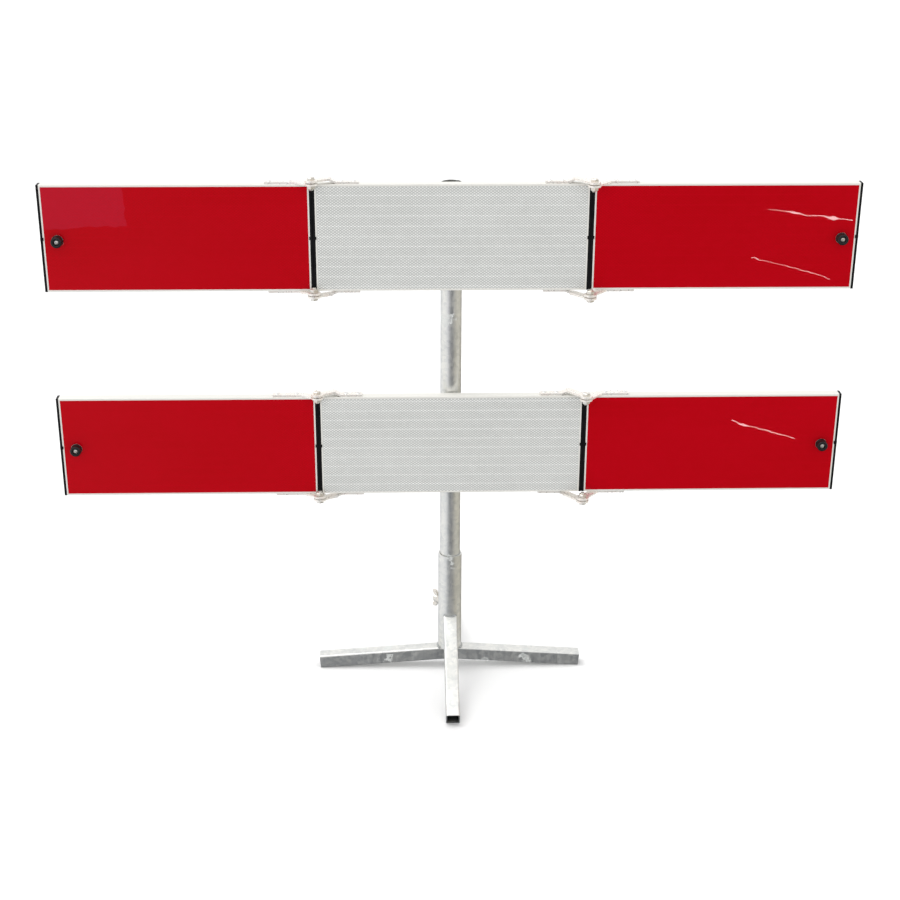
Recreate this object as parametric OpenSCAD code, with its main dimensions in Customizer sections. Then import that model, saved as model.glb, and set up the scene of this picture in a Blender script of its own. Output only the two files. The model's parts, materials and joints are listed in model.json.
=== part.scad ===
// Folding road barrier: two rows of three hinged boards on a pole that stands in a cross foot.
// Origin: pole axis at floor level. +Z up, +X to the right, the boards face -Y.

/* [Boards] */
// Height of a board
board_h = 200; // [120:5:300]
// Thickness of a board
board_t = 20; // [18:1:26]
// Length of the middle board's aluminium
centre_len = 500; // [480:10:800]
// Length of a wing, from the hinge line to its outer end
wing_len = 495; // [380:5:510]
// Gap between the aluminium of two neighbouring boards
board_gap = 10; // [8:1:16]
// Gap left between the two rubber end strips at a hinge
butt_gap = 0.6; // [0.4:0.1:1.5]
// Wall of the aluminium section
board_wall = 1.6; // [1.2:0.1:2]
// Thickness of the reflective sheeting
sheet_t = 0.5; // [0.3:0.1:0.8]
// Bare margin above and below the sheeting
sheet_margin_z = 4; // [2:0.5:10]
// Bare margin at the ends of the sheeting
sheet_margin_x = 3; // [2:0.5:10]

/* [Rows] */
// Height of the lower row's bottom edge above the floor
lower_row_z = 408; // [330:1:480]
// Clear height between the two rows
row_gap = 210; // [120:5:300]
// Distance of the upper board's top edge above the pole's end
pole_below_top = 6; // [0:1:20]

/* [Hinges] */
// Gap between two boards when one is folded over the other
fold_gap = 16; // [16:1:28]
// Width of a strap
strap_w = 16; // [14:1:18]
// Thickness of a strap
strap_t = 4; // [3:0.1:5]
// Distance from the hinge axis to a strap's far end
strap_len = 85; // [80:1:110]
// Outer radius of a strap's eye
eye_r = 12; // [11:0.5:13]
// Diameter of a hinge bolt
hinge_bolt_d = 8; // [6:0.1:10]
// Radial clearance of the hinge bolts in the eyes
hinge_fit = 0.06; // [0.03:0.01:0.1]
// Clearance between hinge pieces that turn past each other
turn_clear = 0.3; // [0.3:0.05:0.5]
// Thickness of a hinge washer
washer_t = 1.7; // [1.5:0.1:2.5]
// Distance from the hinge axis to the first rivet of a wing's strap
wing_rivet_first = 40; // [38:1:45]
// Distance from the hinge axis to the first rivet of a cranked strap
crank_rivet_first = 54; // [52:1:60]
// Distance from a strap's last rivet to the strap's far end
rivet_end = 8; // [6:0.5:10]
// Diameter of a rivet's shank
rivet_d = 4.8; // [4:0.2:6]

/* [Buffers] */
// Diameter of a rubber buffer
buffer_d = 21; // [16:1:30]
// Distance of a buffer's axis from the wing's outer end
buffer_inset = 31; // [18:1:40]
// Drop of the rubber buffers below the middle of the board
buffer_drop = 3; // [0:0.5:10]

/* [Pole and socket] */
// Outer diameter of the pole
pole_d = 40; // [33:1:48]
// Wall of the pole
pole_wall = 2; // [1.5:0.1:3]
// Wall of the socket tube
socket_wall = 2.6; // [2:0.1:4]
// Radial clearance of the pole in the socket
pole_fit = 0.9; // [0.4:0.1:1.5]
// Height of the socket's rim above the floor
socket_top_z = 256; // [220:2:300]
// Height of the wing bolt above the floor
wing_bolt_z = 139; // [130:1:160]
// Direction of the wing bolt, seen from above
wing_bolt_dir = 135; // [130:1:140]
// Diameter of the wing bolt
wing_bolt_d = 10; // [8:1:10]
// Span of the wing bolt's grip
grip_span = 36; // [30:1:40]

/* [Clamps] */
// Height of a pole clamp
clamp_h = 25; // [20:1:30]
// Thickness of a clamp band
band_t = 3; // [2:0.5:4]
// Clearance between a clamp and the pole
clamp_fit = 0.3; // [0.3:0.05:0.6]
// Distance between the two clamps of a row
clamp_pitch = 100; // [80:1:110]
// Distance between a clamp's two bolts
clamp_bolt_pitch = 74; // [72:1:84]
// Thickness of the saddle at its thinnest
saddle_t = 5; // [5:0.5:8]

/* [Foot] */
// Side of the square leg tube
leg_s = 27; // [22:0.5:33]
// Wall of the leg tube
leg_wall = 2; // [1.5:0.1:3]
// Outer corner radius of the leg tube
leg_corner_r = 3.2; // [2.5:0.1:4]
// Reach of a side leg from the pole axis to its floor edge
side_reach = 266; // [220:2:320]
// Height of the side legs' underside at the pole axis
side_rise = 18; // [12:1:30]
// Reach of the front and rear legs from the pole axis to their floor edges
front_reach = 232; // [200:2:280]
// Height at which the top of the front and rear legs meets the socket
front_weld_z = 123; // [110:1:130]

/* [Hidden] */
$fn = 64;
over = 1;
left = -1;
right = 1;

// Places of the boards across the width and depth
hinge_x = centre_len / 2 + board_gap / 2;
strip_t = (board_gap - butt_gap) / 2;
wing_start_x = hinge_x + board_gap / 2;
wing_end_x = hinge_x + wing_len - strip_t;
socket_d = pole_d + 2 * pole_fit + 2 * socket_wall;
back_y = -(pole_d / 2 + saddle_t);
front_y = back_y - board_t;
mid_y = (front_y + back_y) / 2;
upper_row_z = lower_row_z + board_h + row_gap;
pole_top_z = upper_row_z + board_h - pole_below_top;

// Section of the board: two T-slots open to the back
section_corner = 1;
slot_w = 8.6;
slot_lip = 1.8;
slot_room_w = 14.6;
slot_room_d = 6.4;
slot_box_w = slot_room_w + 2 * board_wall;
slot_box_d = slot_lip + slot_room_d + board_wall;
slot_z = clamp_pitch / 2;
tab_lap = 2;
tab_h = 8;
tab_t = 1;

// Hinge stack, counted outwards from a board's edge
relief = turn_clear + 0.1;
upper_eye_z = strap_t + turn_clear + washer_t;
crank_start = 30;
crank_len = 15;
crank_ledge = 0.3 * strap_w;
bolt_head_h = 5.3;
bolt_across = 13;
bolt_nut_h = 6.5;
bolt_tip = 9;
washer_r = 8;
rivet_head_r = 4.6;
rivet_head_h = 1.4;
rivet_grip = strap_t + board_wall + 3;
rivet_play = 0.05;

// Rubber buffer and its screw
buffer_play = 1;
buffer_h = fold_gap - buffer_play;
buffer_bore = 5.4;
buffer_recess_r = 5.5;
buffer_recess = 5;
buffer_round = 1.5;
buffer_edge = 0.3;
screw_d = 5;
screw_head_r = 4.6;
screw_head_h = 3;

// Wing bolt and its nut on the socket
wing_hole_play = 0.06;
wing_nut_across = 17;
wing_nut_h = 8;
wing_tip_clear = 0.3;
grip_hub_r = 7.5;
grip_hub_h = 9;
grip_t = 5;
grip_depth = 13;
grip_end_w = 6;
grip_gap = 1;

// Clamp bolt
clamp_bolt_d = 8;
clamp_hole_play = 0.3;
clamp_head_w = 13;
clamp_head_h = 5;
clamp_bolt_end = 4;
ear_beyond = 9;

// Foot
side_tilt = atan(side_rise / side_reach);
ridge_z = side_rise + leg_s / cos(side_tilt);
weld_run = front_reach - socket_d / 2;
weld_hyp = sqrt(front_weld_z * front_weld_z + weld_run * weld_run);
front_tilt = acos(leg_s / weld_hyp) - atan2(weld_run, front_weld_z);
leg_inner_r = leg_corner_r - leg_wall;
pole_seat = 0.2;
pole_foot_z = ridge_z + pole_seat;
bead = 4;
bead_rise = 3.5;
bead_arc = 50;
big = 2000;

// ---------- helpers ----------

// Distance of a hinge axis in front of the boards' faces: the right wing folds over the left one
function pivot_out(side) = side == left ? fold_gap / 2 : fold_gap + board_t / 2;

// Place of a hinge axis, seen from above
function pivot(side) = [side * hinge_x, front_y - pivot_out(side)];

// Places of the rivets that hold one strap, seen from above; inward is 1 on the middle board
function rivet_xs(side, inward) = [
    for (d = [inward > 0 ? crank_rivet_first : wing_rivet_first, strap_len - rivet_end])
        side * (hinge_x - inward * d)
];

// A square with round corners
module round_square(s, r) {
    square([s, s - 2 * r], center = true);
    square([s - 2 * r, s], center = true);
    for (x = [-1, 1], y = [-1, 1])
        translate([x * (s / 2 - r), y * (s / 2 - r)]) circle(r = r);
}

// A rectangle with round corners, from its low corner
module round_plate(w, h, r) {
    translate([r, 0]) square([w - 2 * r, h]);
    translate([0, r]) square([w, h - 2 * r]);
    for (x = [r, w - r], y = [r, h - r])
        translate([x, y]) circle(r = r);
}

// Extrudes a section drawn in Y and Z along X
module along_x(x0, x1) {
    translate([x0, 0, 0]) rotate([90, 0, 90]) linear_extrude(x1 - x0) children();
}

// Draws its children at the top edge of a row and, mirrored, at its bottom edge
module at_both_edges(row_z) {
    translate([0, 0, row_z + board_h]) children();
    translate([0, 0, row_z]) mirror([0, 0, 1]) children();
}

// Mirrors its children to the left side
module on_side(side) {
    if (side == left) mirror([1, 0, 0]) children();
    else children();
}

module hex_prism(across, h) {
    cylinder(d = across / cos(30), h = h, $fn = 6);
}

// ---------- boards ----------

// Room between the walls of the board's section
module section_chambers() {
    wall = board_wall;
    edge = slot_z + slot_box_w / 2;
    inner = slot_z - slot_box_w / 2;
    mid_h = inner - wall;
    for (m = [-1, 1]) {
        translate([front_y + wall, m > 0 ? edge : -(board_h / 2 - wall)])
            square([board_t - 2 * wall, board_h / 2 - wall - edge]);
        translate([front_y + wall, m > 0 ? wall / 2 : -mid_h - wall / 2])
            square([board_t - 2 * wall, mid_h]);
        translate([front_y + wall, m * slot_z - slot_box_w / 2 + wall / 2])
            square([board_t - slot_box_d - 2 * wall, slot_box_w - wall]);
    }
}

module t_slot() {
    translate([back_y - slot_lip, -slot_w / 2]) square([slot_lip + over, slot_w]);
    translate([back_y - slot_lip - slot_room_d, -slot_room_w / 2])
        square([slot_room_d, slot_room_w]);
}

module board_section() {
    difference() {
        translate([front_y, -board_h / 2]) round_plate(board_t, board_h, section_corner);
        section_chambers();
        for (m = [-1, 1]) translate([0, m * slot_z]) t_slot();
    }
}

module rivet_holes(xs) {
    for (x = xs)
        translate([x, mid_y, -board_wall - over])
            cylinder(d = rivet_d + 2 * rivet_play, h = board_wall + strap_t + 2 * over);
}

module centre_panel(row_z) {
    color("whitesmoke") difference() {
        translate([0, 0, row_z + board_h / 2]) along_x(-centre_len / 2, centre_len / 2) board_section();
        for (side = [left, right])
            at_both_edges(row_z) rivet_holes(rivet_xs(side, 1));
    }
}

module wing_panel(row_z, side) {
    color("whitesmoke") difference() {
        on_side(side)
            translate([0, 0, row_z + board_h / 2]) along_x(wing_start_x, wing_end_x) board_section();
        at_both_edges(row_z) rivet_holes(rivet_xs(side, -1));
    }
}

module sheet_plate(row_z, x0, x1) {
    z0 = row_z + sheet_margin_z;
    translate([x0 + sheet_margin_x, front_y - sheet_t, z0])
        cube([x1 - x0 - 2 * sheet_margin_x, sheet_t, board_h - 2 * sheet_margin_z]);
}

module centre_sheet(row_z) {
    color("white") sheet_plate(row_z, -centre_len / 2, centre_len / 2);
}

module wing_sheet(row_z, side) {
    color("crimson") difference() {
        on_side(side) sheet_plate(row_z, wing_start_x, wing_end_x);
        buffer_hole(row_z, side);
    }
}

// Rubber strip over a board's end, whose tab laps onto the bare margin; inward points to the board
module end_strip(row_z, x0, inward) {
    tab_x = inward > 0 ? x0 : x0 - tab_lap;
    translate([x0, 0, row_z + board_h / 2])
        along_x(0, strip_t)
            translate([front_y, -board_h / 2]) round_plate(board_t, board_h, section_corner);
    translate([tab_x, front_y - tab_t, row_z + board_h / 2 - tab_h / 2])
        cube([strip_t + tab_lap, tab_t, tab_h]);
}

module centre_end_strips(row_z) {
    color("black") for (side = [left, right])
        on_side(side) end_strip(row_z, centre_len / 2, -1);
}

module wing_end_strips(row_z, side) {
    color("black") on_side(side) {
        end_strip(row_z, wing_start_x - strip_t, 1);
        end_strip(row_z, wing_end_x, -1);
    }
}

// ---------- hinges ----------

// Eye, arm and straight part of a strap, seen from above; inward is 1 on the middle board
module strap_outline(side, inward, straight) {
    p = pivot(side);
    far = [side * (hinge_x - inward * crank_start), mid_y];
    reach = far - p;
    slant = atan2(reach[1], reach[0]);
    ahead = side * inward > 0 ? 180 : 0;
    bend = (slant + ahead) / 2;
    half_w = strap_w / 2;
    start = half_w * [-sin(slant), cos(slant)];
    mitre = half_w / cos((slant - ahead) / 2) * [-sin(bend), cos(bend)];
    end = far + [straight * cos(ahead), 0];
    edge = [0, half_w * cos(ahead)];
    translate(p) circle(r = eye_r);
    polygon([p + start, far + mitre, end + edge, end - edge, far - mitre, p - start]);
}

// Flat strap screwed down the edge of a wing: its eye turns close over the middle board
module wing_strap(side) {
    difference() {
        linear_extrude(strap_t) difference() {
            strap_outline(side, -1, strap_len - crank_start);
            translate(pivot(side)) circle(d = hinge_bolt_d + 2 * hinge_fit);
        }
        translate([side > 0 ? -big : -wing_start_x, -big / 2, -over])
            cube([big + wing_start_x, big, over + relief]);
        translate([-big / 2, front_y - big, -over]) cube([big, big, over + relief]);
        rivet_holes(rivet_xs(side, -1));
    }
}

// Cranked strap of the middle board: its eye lies over the wing's eye
module centre_strap(side) {
    x0 = hinge_x - crank_start;
    x1 = x0 - crank_len;
    x2 = hinge_x - strap_len;
    difference() {
        union() {
            translate([0, 0, upper_eye_z]) linear_extrude(strap_t) strap_outline(side, 1, crank_ledge);
            on_side(side)
                translate([0, mid_y + strap_w / 2, 0]) rotate([90, 0, 0]) linear_extrude(strap_w)
                    polygon([
                        [x0, upper_eye_z], [x1, 0], [x2, 0], [x2, strap_t],
                        [x1, strap_t], [x0, upper_eye_z + strap_t]
                    ]);
        }
        translate([pivot(side)[0], pivot(side)[1], 0])
            cylinder(d = hinge_bolt_d + 2 * hinge_fit, h = big);
        rivet_holes(rivet_xs(side, 1));
    }
}

module centre_straps(row_z) {
    color("silver") for (side = [left, right])
        at_both_edges(row_z) centre_strap(side);
}

module wing_straps(row_z, side) {
    color("silver") at_both_edges(row_z) wing_strap(side);
}

// Draws its children on both hinge axes, at both edges of a row
module at_hinges(row_z) {
    for (side = [left, right])
        at_both_edges(row_z) translate([pivot(side)[0], pivot(side)[1], 0]) children();
}

// Hole for a hinge bolt through a piece of height h
module pin_hole(h) {
    translate([0, 0, -over]) cylinder(d = hinge_bolt_d + 2 * hinge_fit, h = h + 2 * over);
}

module hinge_bolts(row_z) {
    head_z = upper_eye_z + strap_t;
    color("gainsboro") at_hinges(row_z) {
        translate([0, 0, -bolt_tip]) cylinder(d = hinge_bolt_d, h = head_z + bolt_tip + over);
        translate([0, 0, head_z]) hex_prism(bolt_across, bolt_head_h);
    }
}

module hinge_nuts(row_z) {
    color("gainsboro") at_hinges(row_z)
        translate([0, 0, relief - turn_clear - bolt_nut_h]) difference() {
            hex_prism(bolt_across, bolt_nut_h);
            pin_hole(bolt_nut_h);
        }
}

module hinge_washers(row_z) {
    color("gainsboro") at_hinges(row_z)
        translate([0, 0, strap_t + turn_clear]) difference() {
            cylinder(r = washer_r, h = washer_t);
            pin_hole(washer_t);
        }
}

module rivets_at(row_z, xs) {
    at_both_edges(row_z) for (x = xs)
        translate([x, mid_y, 0]) {
            translate([0, 0, strap_t - rivet_grip]) cylinder(d = rivet_d, h = rivet_grip);
            translate([0, 0, strap_t]) rotate_extrude() polygon([
                [0, 0], [rivet_head_r, 0], [rivet_head_r * 0.8, rivet_head_h * 0.6],
                [rivet_head_r * 0.4, rivet_head_h], [0, rivet_head_h]
            ]);
        }
}

module centre_rivets(row_z) {
    color("silver") for (side = [left, right]) rivets_at(row_z, rivet_xs(side, 1));
}

module wing_rivets(row_z, side) {
    color("silver") rivets_at(row_z, rivet_xs(side, -1));
}

// ---------- buffers ----------

// Draws its children at a wing's buffer, +Z pointing out of the board's face
module at_buffer(row_z, side) {
    translate([side * (hinge_x + wing_len - buffer_inset), front_y, row_z + board_h / 2 - buffer_drop])
        rotate([90, 0, 0]) children();
}

// Hole in the sheeting that the buffer stands in
module buffer_hole(row_z, side) {
    at_buffer(row_z, side) translate([0, 0, -over])
        cylinder(d = buffer_d + 2 * buffer_edge, h = sheet_t + 2 * over);
}

module buffer(row_z, side) {
    color("dimgray") at_buffer(row_z, side) rotate_extrude() polygon([
        [buffer_bore / 2, 0], [buffer_d / 2, 0], [buffer_d / 2, buffer_h - buffer_round],
        [buffer_d / 2 - buffer_round, buffer_h], [buffer_recess_r, buffer_h],
        [buffer_recess_r, buffer_h - buffer_recess], [buffer_bore / 2, buffer_h - buffer_recess]
    ]);
}

module buffer_screw(row_z, side) {
    head_z = buffer_h - buffer_recess;
    color("gainsboro") at_buffer(row_z, side) {
        cylinder(d = screw_d, h = head_z + over);
        translate([0, 0, head_z]) cylinder(r = screw_head_r, h = screw_head_h);
    }
}

// ---------- pole clamps ----------

// Draws its children at the middle of both clamps of a row
module at_clamps(row_z) {
    for (m = [-1, 1])
        translate([0, 0, row_z + board_h / 2 + m * slot_z]) children();
}

module clamp_saddles(row_z) {
    hug_r = pole_d / 2 + clamp_fit;
    half_w = hug_r - clamp_fit;
    color("darkgray") at_clamps(row_z)
        translate([0, 0, -clamp_h / 2]) linear_extrude(clamp_h) difference() {
            translate([-half_w, back_y]) square([2 * half_w, saddle_t + pole_d / 4]);
            circle(r = hug_r);
        }
}

// Half disc with a square foot on the board's back, seen from above
module band_outline(r) {
    circle(r = r);
    translate([-r, back_y]) square([2 * r, -back_y]);
}

module clamp_bands(row_z) {
    hug_r = pole_d / 2 + clamp_fit;
    ear_x = clamp_bolt_pitch / 2 + ear_beyond;
    color("silver") at_clamps(row_z) difference() {
        translate([0, 0, -clamp_h / 2]) linear_extrude(clamp_h) difference() {
            union() {
                band_outline(hug_r + band_t);
                translate([-ear_x, back_y]) square([2 * ear_x, band_t]);
            }
            band_outline(hug_r);
            translate([-hug_r, back_y - over]) square([2 * hug_r, 2 * over]);
        }
        for (m = [-1, 1])
            translate([m * clamp_bolt_pitch / 2, back_y + band_t + over, 0]) rotate([90, 0, 0])
                cylinder(d = clamp_bolt_d + 2 * clamp_hole_play, h = band_t + 2 * over);
    }
}

// T-head bolts that hold a band to the board's slots, each with its nut
module clamp_bolts(row_z) {
    head_y = back_y - slot_lip;
    bolt_len = slot_lip + band_t + bolt_nut_h + clamp_bolt_end;
    color("gainsboro") at_clamps(row_z) for (m = [-1, 1])
        translate([m * clamp_bolt_pitch / 2, 0, 0]) {
            translate([0, head_y, 0]) rotate([-90, 0, 0]) cylinder(d = clamp_bolt_d, h = bolt_len);
            translate([-clamp_head_w / 2, head_y - clamp_head_h, -clamp_head_w / 2])
                cube([clamp_head_w, clamp_head_h, clamp_head_w]);
            translate([0, back_y + band_t, 0]) rotate([-90, 0, 0]) difference() {
                hex_prism(bolt_across, bolt_nut_h);
                translate([0, 0, -over])
                    cylinder(d = clamp_bolt_d + 2 * hinge_fit, h = bolt_nut_h + 2 * over);
            }
        }
}

// ---------- pole, socket and foot ----------

module tube(d, wall, z0, z1) {
    translate([0, 0, z0]) difference() {
        cylinder(d = d, h = z1 - z0);
        translate([0, 0, -over]) cylinder(d = d - 2 * wall, h = z1 - z0 + 2 * over);
    }
}

module pole() {
    color("lightsteelblue") tube(pole_d, pole_wall, pole_foot_z, pole_top_z);
}

// Draws its children along the wing bolt's axis, +Z pointing away from the pole
module at_wing_bolt() {
    translate([0, 0, wing_bolt_z]) rotate([0, 0, wing_bolt_dir]) rotate([0, 90, 0]) children();
}

// Socket tube, cut at its foot to sit on the two sloping side legs
module socket() {
    r = socket_d / 2;
    drop = r * tan(side_tilt);
    color("lightsteelblue") difference() {
        tube(socket_d, socket_wall, ridge_z - drop, socket_top_z);
        translate([0, r + over, 0]) rotate([90, 0, 0]) linear_extrude(2 * (r + over))
            polygon([
                [-2 * r, ridge_z - 2 * drop], [0, ridge_z], [2 * r, ridge_z - 2 * drop],
                [2 * r, 0], [-2 * r, 0]
            ]);
        at_wing_bolt() cylinder(d = wing_bolt_d + 2 * wing_hole_play, h = socket_d);
    }
}

module socket_nut() {
    color("lightsteelblue") difference() {
        at_wing_bolt() rotate([0, 0, 30]) hex_prism(wing_nut_across, socket_d / 2 + wing_nut_h);
        cylinder(d = socket_d, h = big);
        at_wing_bolt() cylinder(d = wing_bolt_d + 2 * wing_hole_play, h = big);
    }
}

// Screw with a two-wing grip that clamps the pole in the socket
module wing_bolt() {
    tip = pole_d / 2 + wing_tip_clear;
    hub = socket_d / 2 + wing_nut_h + grip_gap;
    wing = grip_span / 2;
    color("gainsboro") at_wing_bolt() {
        translate([0, 0, tip]) cylinder(d = wing_bolt_d, h = hub - tip + over);
        translate([0, 0, hub]) cylinder(r = grip_hub_r, h = grip_hub_h);
        translate([0, grip_t / 2, hub]) rotate([90, 0, 0]) linear_extrude(grip_t) polygon([
            [-grip_hub_r, 0], [grip_hub_r, 0], [wing, grip_depth * 0.4], [wing, grip_depth],
            [wing - grip_end_w, grip_depth], [grip_hub_r, grip_hub_h],
            [-grip_hub_r, grip_hub_h], [-wing + grip_end_w, grip_depth], [-wing, grip_depth],
            [-wing, grip_depth * 0.4]
        ]);
    }
}

// Section of the leg tube; the solid one shows where its outside lies
module leg_section(solid) {
    difference() {
        round_square(leg_s, leg_corner_r);
        if (!solid) round_square(leg_s - 2 * leg_wall, leg_inner_r);
    }
}

// A leg along +X that comes down by tilt to its floor edge at x = reach
module sloping_leg(reach, tilt, beyond, solid) {
    translate([reach, 0, 0]) rotate([0, tilt, 0]) translate([0, 0, leg_s / 2])
        along_x(-reach / cos(tilt) - beyond, 0) leg_section(solid);
}

// Side legs run under the socket and meet in a mitre on the pole axis
module side_leg(side, solid = false) {
    on_side(side) difference() {
        sloping_leg(side_reach, side_tilt, leg_s, solid);
        translate([-big, -big / 2, -big / 2]) cube([big, big, big]);
    }
}

// Front and rear legs are welded to the socket's wall
module end_leg(dir, solid = false) {
    rotate([0, 0, dir * 90]) difference() {
        sloping_leg(front_reach, front_tilt, 0, solid);
        cylinder(d = socket_d, h = big, center = true);
    }
}

module left_leg() {
    color("lightgray") side_leg(left);
}

module right_leg() {
    color("lightgray") side_leg(right);
}

module front_leg() {
    color("lightgray") end_leg(-1);
}

module rear_leg() {
    color("lightgray") end_leg(1);
}

// A bead that runs part of the way around the socket, about the direction dir
module weld_bead(z, slope, dir) {
    r = socket_d / 2;
    rotate([0, 0, dir - bead_arc / 2]) rotate_extrude(angle = bead_arc) polygon([
        [r, z - bead], [r + bead, z - bead], [r + bead, z - bead * tan(slope)], [r, z + bead_rise]
    ]);
}

module welds() {
    foot_z = ridge_z - socket_d / 2 * tan(side_tilt);
    color("gray") {
        for (dir = [0, 180]) difference() {
            weld_bead(foot_z, side_tilt, dir);
            for (side = [left, right]) side_leg(side, true);
        }
        for (dir = [-1, 1]) difference() {
            weld_bead(front_weld_z, front_tilt, dir * 90);
            end_leg(dir, true);
        }
    }
}

pole();
socket();
left_leg();
right_leg();
front_leg();
rear_leg();
welds();
socket_nut();
wing_bolt();
centre_panel(upper_row_z);  // upper_centre_panel
wing_panel(upper_row_z, left);  // upper_left_panel
wing_panel(upper_row_z, right);  // upper_right_panel
centre_sheet(upper_row_z);  // upper_centre_sheet
wing_sheet(upper_row_z, left);  // upper_left_sheet
wing_sheet(upper_row_z, right);  // upper_right_sheet
centre_end_strips(upper_row_z);  // upper_centre_end_strips
wing_end_strips(upper_row_z, left);  // upper_left_end_strips
wing_end_strips(upper_row_z, right);  // upper_right_end_strips
centre_straps(upper_row_z);  // upper_centre_straps
wing_straps(upper_row_z, left);  // upper_left_straps
wing_straps(upper_row_z, right);  // upper_right_straps
hinge_bolts(upper_row_z);  // upper_hinge_bolts
hinge_nuts(upper_row_z);  // upper_hinge_nuts
hinge_washers(upper_row_z);  // upper_hinge_washers
centre_rivets(upper_row_z);  // upper_centre_rivets
wing_rivets(upper_row_z, left);  // upper_left_rivets
wing_rivets(upper_row_z, right);  // upper_right_rivets
buffer(upper_row_z, left);  // upper_left_buffer
buffer(upper_row_z, right);  // upper_right_buffer
buffer_screw(upper_row_z, left);  // upper_left_buffer_screw
buffer_screw(upper_row_z, right);  // upper_right_buffer_screw
clamp_saddles(upper_row_z);  // upper_clamp_saddles
clamp_bands(upper_row_z);  // upper_clamp_bands
clamp_bolts(upper_row_z);  // upper_clamp_bolts
centre_panel(lower_row_z);  // lower_centre_panel
wing_panel(lower_row_z, left);  // lower_left_panel
wing_panel(lower_row_z, right);  // lower_right_panel
centre_sheet(lower_row_z);  // lower_centre_sheet
wing_sheet(lower_row_z, left);  // lower_left_sheet
wing_sheet(lower_row_z, right);  // lower_right_sheet
centre_end_strips(lower_row_z);  // lower_centre_end_strips
wing_end_strips(lower_row_z, left);  // lower_left_end_strips
wing_end_strips(lower_row_z, right);  // lower_right_end_strips
centre_straps(lower_row_z);  // lower_centre_straps
wing_straps(lower_row_z, left);  // lower_left_straps
wing_straps(lower_row_z, right);  // lower_right_straps
hinge_bolts(lower_row_z);  // lower_hinge_bolts
hinge_nuts(lower_row_z);  // lower_hinge_nuts
hinge_washers(lower_row_z);  // lower_hinge_washers
centre_rivets(lower_row_z);  // lower_centre_rivets
wing_rivets(lower_row_z, left);  // lower_left_rivets
wing_rivets(lower_row_z, right);  // lower_right_rivets
buffer(lower_row_z, left);  // lower_left_buffer
buffer(lower_row_z, right);  // lower_right_buffer
buffer_screw(lower_row_z, left);  // lower_left_buffer_screw
buffer_screw(lower_row_z, right);  // lower_right_buffer_screw
clamp_saddles(lower_row_z);  // lower_clamp_saddles
clamp_bands(lower_row_z);  // lower_clamp_bands
clamp_bolts(lower_row_z);  // lower_clamp_bolts
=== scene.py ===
"""The looks of a folding road barrier: reflective boards, hinges, clamps, pole and cross foot.

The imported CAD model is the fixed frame. Every piece here is placed from it, rides on one of its bodies
and takes its finish from one of the record's material slots.
"""

import json
import logging
import math
from collections.abc import Callable, Iterator, Sequence
from contextlib import contextmanager
from dataclasses import dataclass, field
from enum import Enum

import bmesh
import bpy
from mathutils import Euler, Matrix, Vector


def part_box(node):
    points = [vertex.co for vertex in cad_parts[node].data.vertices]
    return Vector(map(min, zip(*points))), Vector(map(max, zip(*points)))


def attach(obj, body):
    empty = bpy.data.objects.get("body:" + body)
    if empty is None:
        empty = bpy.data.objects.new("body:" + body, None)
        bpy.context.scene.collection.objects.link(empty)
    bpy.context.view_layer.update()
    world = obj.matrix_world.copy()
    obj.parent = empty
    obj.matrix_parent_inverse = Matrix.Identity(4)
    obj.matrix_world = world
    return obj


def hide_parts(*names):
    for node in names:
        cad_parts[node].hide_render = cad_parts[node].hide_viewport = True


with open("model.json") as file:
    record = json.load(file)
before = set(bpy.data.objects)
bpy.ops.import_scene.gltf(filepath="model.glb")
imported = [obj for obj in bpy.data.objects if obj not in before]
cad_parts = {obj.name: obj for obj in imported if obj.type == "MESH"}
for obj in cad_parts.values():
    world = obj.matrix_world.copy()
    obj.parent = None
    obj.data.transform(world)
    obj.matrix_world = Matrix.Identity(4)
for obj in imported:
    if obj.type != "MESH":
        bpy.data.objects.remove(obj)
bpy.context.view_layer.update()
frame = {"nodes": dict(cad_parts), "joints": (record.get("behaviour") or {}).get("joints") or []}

MM = 0.001
LOG = logging.getLogger("barrier")
Colour = tuple[float, float, float]
Profile = Sequence[tuple[float, float]]


class RowName(Enum):
    """The two rows of boards."""

    UPPER = "upper"
    LOWER = "lower"


class Side(Enum):
    """The side of a row, as the viewer sees it."""

    LEFT = -1
    RIGHT = 1

    @property
    def word(self) -> str:
        """The side's name inside node, body and joint names."""
        return self.name.lower()


class Part(Enum):
    """The three boards of a row."""

    CENTRE = "centre"
    LEFT = "left"
    RIGHT = "right"


# ---------------------------------------------------------------- materials


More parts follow.
